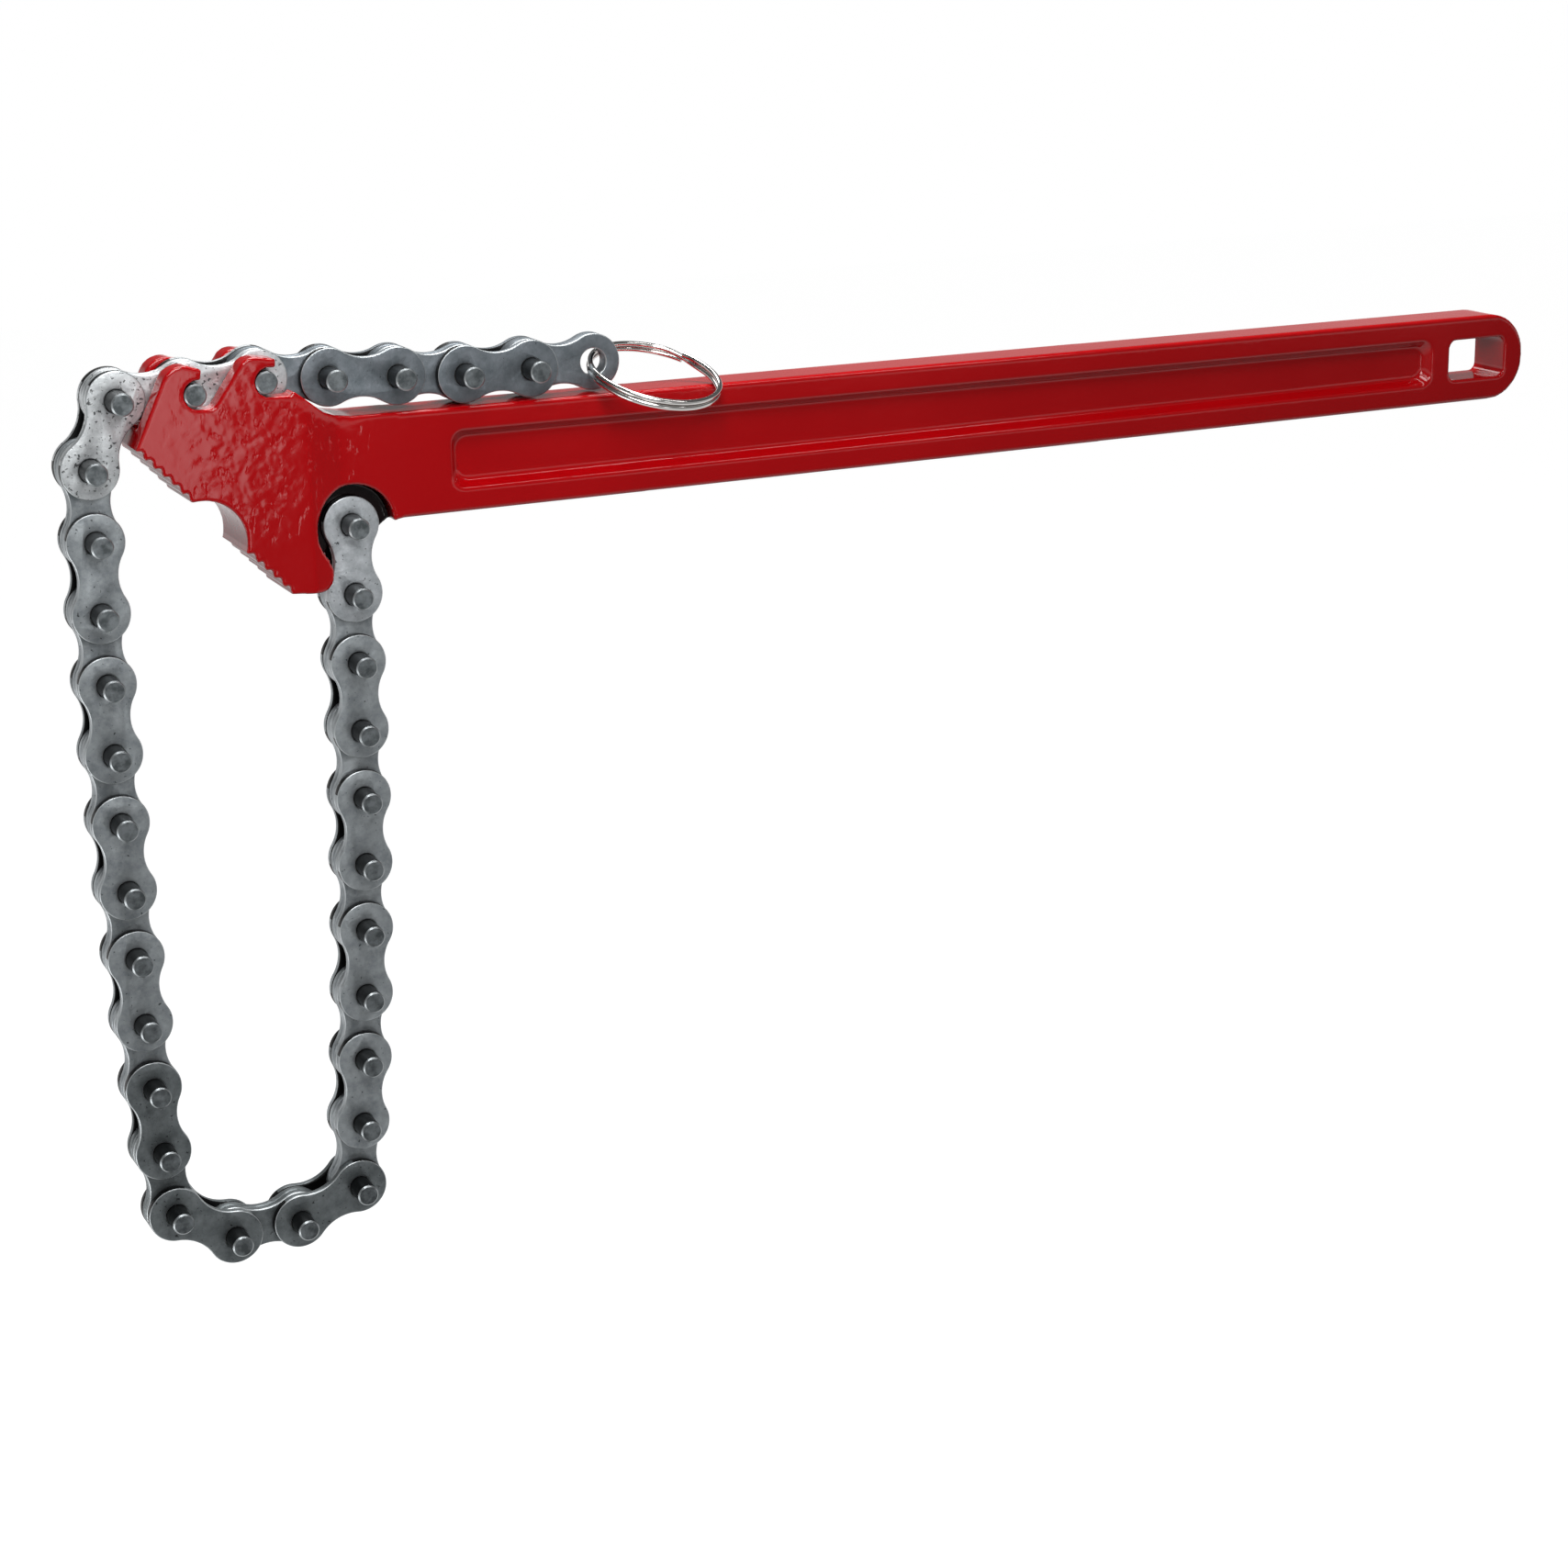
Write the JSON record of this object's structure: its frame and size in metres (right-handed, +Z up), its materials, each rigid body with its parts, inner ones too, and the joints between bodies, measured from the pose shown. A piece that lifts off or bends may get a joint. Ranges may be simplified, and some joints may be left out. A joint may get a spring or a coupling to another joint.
{
  "type": "chain pipe wrench",
  "caption": "Chain pipe wrench: a red cast handle with a toothed jaw and twin hooks, and a leaf chain that loops from an anchor lug round a pipe and hooks back, with a split ring on its end.",
  "frame": {"origin": "the hand grip: on the handle's middle line, 230 mm from the anchor pin, in the middle of its thickness", "axes": "+X along the handle away from the head, +Y away from the side the picture shows, +Z up with the jaw facing down"},
  "size_m": [0.3851, 0.032, 0.2124],
  "materials": {
    "red_enamel": "glossy red enamel over a sand casting",
    "chain_steel": "dull grey tumbled plate",
    "pin_steel": "turned pin ends, lightly oiled",
    "ring_chrome": "bright nickel plate"
  },
  "bodies": {
    "wrench": {"wrench_body": "red_enamel", "outer_link_14": "chain_steel", "link_pins_14": "pin_steel"},
    "link_01": {"outer_link_01": "chain_steel", "link_pins_01": "pin_steel"},
    "link_02": {"inner_link_01": "chain_steel"},
    "link_03": {"outer_link_02": "chain_steel", "link_pins_02": "pin_steel"},
    "link_04": {"inner_link_02": "chain_steel"},
    "link_05": {"outer_link_03": "chain_steel", "link_pins_03": "pin_steel"},
    "link_06": {"inner_link_03": "chain_steel"},
    "link_07": {"outer_link_04": "chain_steel", "link_pins_04": "pin_steel"},
    "link_08": {"inner_link_04": "chain_steel"},
    "link_09": {"outer_link_05": "chain_steel", "link_pins_05": "pin_steel"},
    "link_10": {"inner_link_05": "chain_steel"},
    "link_11": {"outer_link_06": "chain_steel", "link_pins_06": "pin_steel"},
    "link_12": {"inner_link_06": "chain_steel"},
    "link_13": {"outer_link_07": "chain_steel", "link_pins_07": "pin_steel"},
    "link_14": {"inner_link_07": "chain_steel"},
    "link_15": {"outer_link_08": "chain_steel", "link_pins_08": "pin_steel"},
    "link_16": {"inner_link_08": "chain_steel"},
    "link_17": {"outer_link_09": "chain_steel", "link_pins_09": "pin_steel"},
    "link_18": {"inner_link_09": "chain_steel"},
    "link_19": {"outer_link_10": "chain_steel", "link_pins_10": "pin_steel"},
    "link_20": {"inner_link_10": "chain_steel"},
    "link_21": {"outer_link_11": "chain_steel", "link_pins_11": "pin_steel"},
    "link_22": {"inner_link_11": "chain_steel"},
    "link_23": {"outer_link_12": "chain_steel", "link_pins_12": "pin_steel"},
    "link_24": {"inner_link_12": "chain_steel"},
    "link_25": {"outer_link_13": "chain_steel", "link_pins_13": "pin_steel"},
    "link_26": {"inner_link_13": "chain_steel"},
    "link_28": {"inner_link_14": "chain_steel"},
    "link_29": {"outer_link_15": "chain_steel", "link_pins_15": "pin_steel"},
    "link_30": {"inner_link_15": "chain_steel"},
    "link_31": {"outer_link_16": "chain_steel", "link_pins_16": "pin_steel"},
    "link_32": {"end_link": "chain_steel"},
    "ring": {"split_ring": "ring_chrome"}
  },
  "joints": [
    {"name": "anchor_pivot", "type": "hinge", "parent": "wrench", "child": "link_01", "pos_m": [-0.23, 0, -0.0126], "axis": [0, -1, 0], "range_deg": [-3, 8]},
    {"name": "pivot_02", "type": "hinge", "parent": "link_01", "child": "link_02", "pos_m": [-0.23, 0, -0.02848], "axis": [0, -1, 0], "range_deg": [-0.29, 0.78]},
    {"name": "pivot_03", "type": "hinge", "parent": "link_02", "child": "link_03", "pos_m": [-0.23006, 0, -0.04435], "axis": [0, -1, 0], "range_deg": [-0.29, 0.78]},
    {"name": "pivot_04", "type": "hinge", "parent": "link_03", "child": "link_04", "pos_m": [-0.23024, 0, -0.06022], "axis": [0, -1, 0], "range_deg": [-0.29, 0.78]},
    {"name": "pivot_05", "type": "hinge", "parent": "link_04", "child": "link_05", "pos_m": [-0.23056, 0, -0.0761], "axis": [0, -1, 0], "range_deg": [-0.29, 0.78]},
    {"name": "pivot_06", "type": "hinge", "parent": "link_05", "child": "link_06", "pos_m": [-0.23105, 0, -0.09196], "axis": [0, -1, 0], "range_deg": [-0.29, 0.78]},
    {"name": "pivot_07", "type": "hinge", "parent": "link_06", "child": "link_07", "pos_m": [-0.23174, 0, -0.10782], "axis": [0, -1, 0], "range_deg": [-0.29, 0.78]},
    {"name": "pivot_08", "type": "hinge", "parent": "link_07", "child": "link_08", "pos_m": [-0.23264, 0, -0.12367], "axis": [0, -1, 0], "range_deg": [-0.29, 0.78]},
    {"name": "pivot_09", "type": "hinge", "parent": "link_08", "child": "link_09", "pos_m": [-0.23378, 0, -0.13951], "axis": [0, -1, 0], "range_deg": [-0.29, 0.78]},
    {"name": "pivot_10", "type": "hinge", "parent": "link_09", "child": "link_10", "pos_m": [-0.23517, 0, -0.15532], "axis": [0, -1, 0], "range_deg": [-0.29, 0.78]},
    {"name": "pivot_11", "type": "hinge", "parent": "link_10", "child": "link_11", "pos_m": [-0.23683, 0, -0.17111], "axis": [0, -1, 0], "range_deg": [-17.5, 6.56]},
    {"name": "pivot_12", "type": "hinge", "parent": "link_11", "child": "link_12", "pos_m": [-0.25157, 0, -0.177], "axis": [0, -1, 0], "range_deg": [-0.95, 0.35]},
    {"name": "pivot_27", "type": "hinge", "parent": "wrench", "child": "link_26", "pos_m": [-0.26486, 0, 0.02021], "axis": [0, -1, 0], "range_deg": [-3.53, 1.32]},
    {"name": "pivot_26", "type": "hinge", "parent": "link_26", "child": "link_25", "pos_m": [-0.28072, 0, 0.01955], "axis": [0, -1, 0], "range_deg": [-4.25, 11.33]},
    {"name": "pivot_25", "type": "hinge", "parent": "link_25", "child": "link_24", "pos_m": [-0.28736, 0, 0.00513], "axis": [0, -1, 0], "range_deg": [-0.3, 0.81]},
    {"name": "pivot_24", "type": "hinge", "parent": "link_24", "child": "link_23", "pos_m": [-0.28736, 0, -0.01075], "axis": [0, -1, 0], "range_deg": [-0.229, 0.612]},
    {"name": "pivot_23", "type": "hinge", "parent": "link_23", "child": "link_22", "pos_m": [-0.28732, 0, -0.02662], "axis": [0, -1, 0], "range_deg": [-0.233, 0.62]},
    {"name": "pivot_22", "type": "hinge", "parent": "link_22", "child": "link_21", "pos_m": [-0.28721, 0, -0.0425], "axis": [0, -1, 0], "range_deg": [-0.229, 0.612]},
    {"name": "pivot_21", "type": "hinge", "parent": "link_21", "child": "link_20", "pos_m": [-0.287, 0, -0.05837], "axis": [0, -1, 0], "range_deg": [-0.229, 0.612]},
    {"name": "pivot_20", "type": "hinge", "parent": "link_20", "child": "link_19", "pos_m": [-0.28667, 0, -0.07425], "axis": [0, -1, 0], "range_deg": [-0.233, 0.62]},
    {"name": "pivot_19", "type": "hinge", "parent": "link_19", "child": "link_18", "pos_m": [-0.28622, 0, -0.09011], "axis": [0, -1, 0], "range_deg": [-0.229, 0.612]},
    {"name": "pivot_18", "type": "hinge", "parent": "link_18", "child": "link_17", "pos_m": [-0.28562, 0, -0.10598], "axis": [0, -1, 0], "range_deg": [-0.229, 0.612]},
    {"name": "pivot_17", "type": "hinge", "parent": "link_17", "child": "link_16", "pos_m": [-0.28486, 0, -0.12183], "axis": [0, -1, 0], "range_deg": [-0.233, 0.62]},
    {"name": "pivot_16", "type": "hinge", "parent": "link_16", "child": "link_15", "pos_m": [-0.28393, 0, -0.13768], "axis": [0, -1, 0], "range_deg": [-0.229, 0.612]},
    {"name": "pivot_15", "type": "hinge", "parent": "link_15", "child": "link_14", "pos_m": [-0.28283, 0, -0.15352], "axis": [0, -1, 0], "range_deg": [-16.37, 6.14]},
    {"name": "pivot_14", "type": "hinge", "parent": "link_14", "child": "link_13", "pos_m": [-0.28089, 0, -0.16928], "axis": [0, -1, 0], "range_deg": [-2.26, 0.85]},
    {"name": "tail_pivot_28", "type": "hinge", "parent": "wrench", "child": "link_28", "pos_m": [-0.24905, 0, 0.02165], "axis": [0, -1, 0], "range_deg": [0, 30]},
    {"name": "tail_pivot_29", "type": "hinge", "parent": "link_28", "child": "link_29", "pos_m": [-0.23321, 0, 0.02066], "axis": [0, -1, 0], "range_deg": [0, 30]},
    {"name": "tail_pivot_30", "type": "hinge", "parent": "link_29", "child": "link_30", "pos_m": [-0.21737, 0, 0.01967], "axis": [0, -1, 0], "range_deg": [0, 30]},
    {"name": "tail_pivot_31", "type": "hinge", "parent": "link_30", "child": "link_31", "pos_m": [-0.20152, 0, 0.01868], "axis": [0, -1, 0], "range_deg": [0, 30]},
    {"name": "tail_pivot_32", "type": "hinge", "parent": "link_31", "child": "link_32", "pos_m": [-0.18565, 0, 0.01868], "axis": [0, -1, 0], "range_deg": [0, 30]},
    {"name": "ring_swing", "type": "hinge", "parent": "link_32", "child": "ring", "pos_m": [-0.16977, 0, 0.01868], "axis": [0, -1, 0], "range_deg": [0, 60]}
  ],
  "couplings": [
    {"joint": "pivot_02", "follows": "anchor_pivot", "ratio": 0.095},
    {"joint": "pivot_03", "follows": "anchor_pivot", "ratio": 0.095},
    {"joint": "pivot_04", "follows": "anchor_pivot", "ratio": 0.095},
    {"joint": "pivot_05", "follows": "anchor_pivot", "ratio": 0.096},
    {"joint": "pivot_06", "follows": "anchor_pivot", "ratio": 0.095},
    {"joint": "pivot_07", "follows": "anchor_pivot", "ratio": 0.095},
    {"joint": "pivot_08", "follows": "anchor_pivot", "ratio": 0.095},
    {"joint": "pivot_09", "follows": "anchor_pivot", "ratio": 0.095},
    {"joint": "pivot_10", "follows": "anchor_pivot", "ratio": 0.095},
    {"joint": "pivot_11", "follows": "anchor_pivot", "ratio": -2.145},
    {"joint": "pivot_12", "follows": "anchor_pivot", "ratio": -0.116},
    {"joint": "pivot_27", "follows": "anchor_pivot", "ratio": -0.433},
    {"joint": "pivot_26", "follows": "anchor_pivot", "ratio": 1.389},
    {"joint": "pivot_25", "follows": "anchor_pivot", "ratio": 0.099},
    {"joint": "pivot_24", "follows": "anchor_pivot", "ratio": 0.075},
    {"joint": "pivot_23", "follows": "anchor_pivot", "ratio": 0.076},
    {"joint": "pivot_22", "follows": "anchor_pivot", "ratio": 0.075},
    {"joint": "pivot_21", "follows": "anchor_pivot", "ratio": 0.075},
    {"joint": "pivot_20", "follows": "anchor_pivot", "ratio": 0.076},
    {"joint": "pivot_19", "follows": "anchor_pivot", "ratio": 0.075},
    {"joint": "pivot_18", "follows": "anchor_pivot", "ratio": 0.075},
    {"joint": "pivot_17", "follows": "anchor_pivot", "ratio": 0.076},
    {"joint": "pivot_16", "follows": "anchor_pivot", "ratio": 0.075},
    {"joint": "pivot_15", "follows": "anchor_pivot", "ratio": -2.006},
    {"joint": "pivot_14", "follows": "anchor_pivot", "ratio": -0.277}
  ]
}
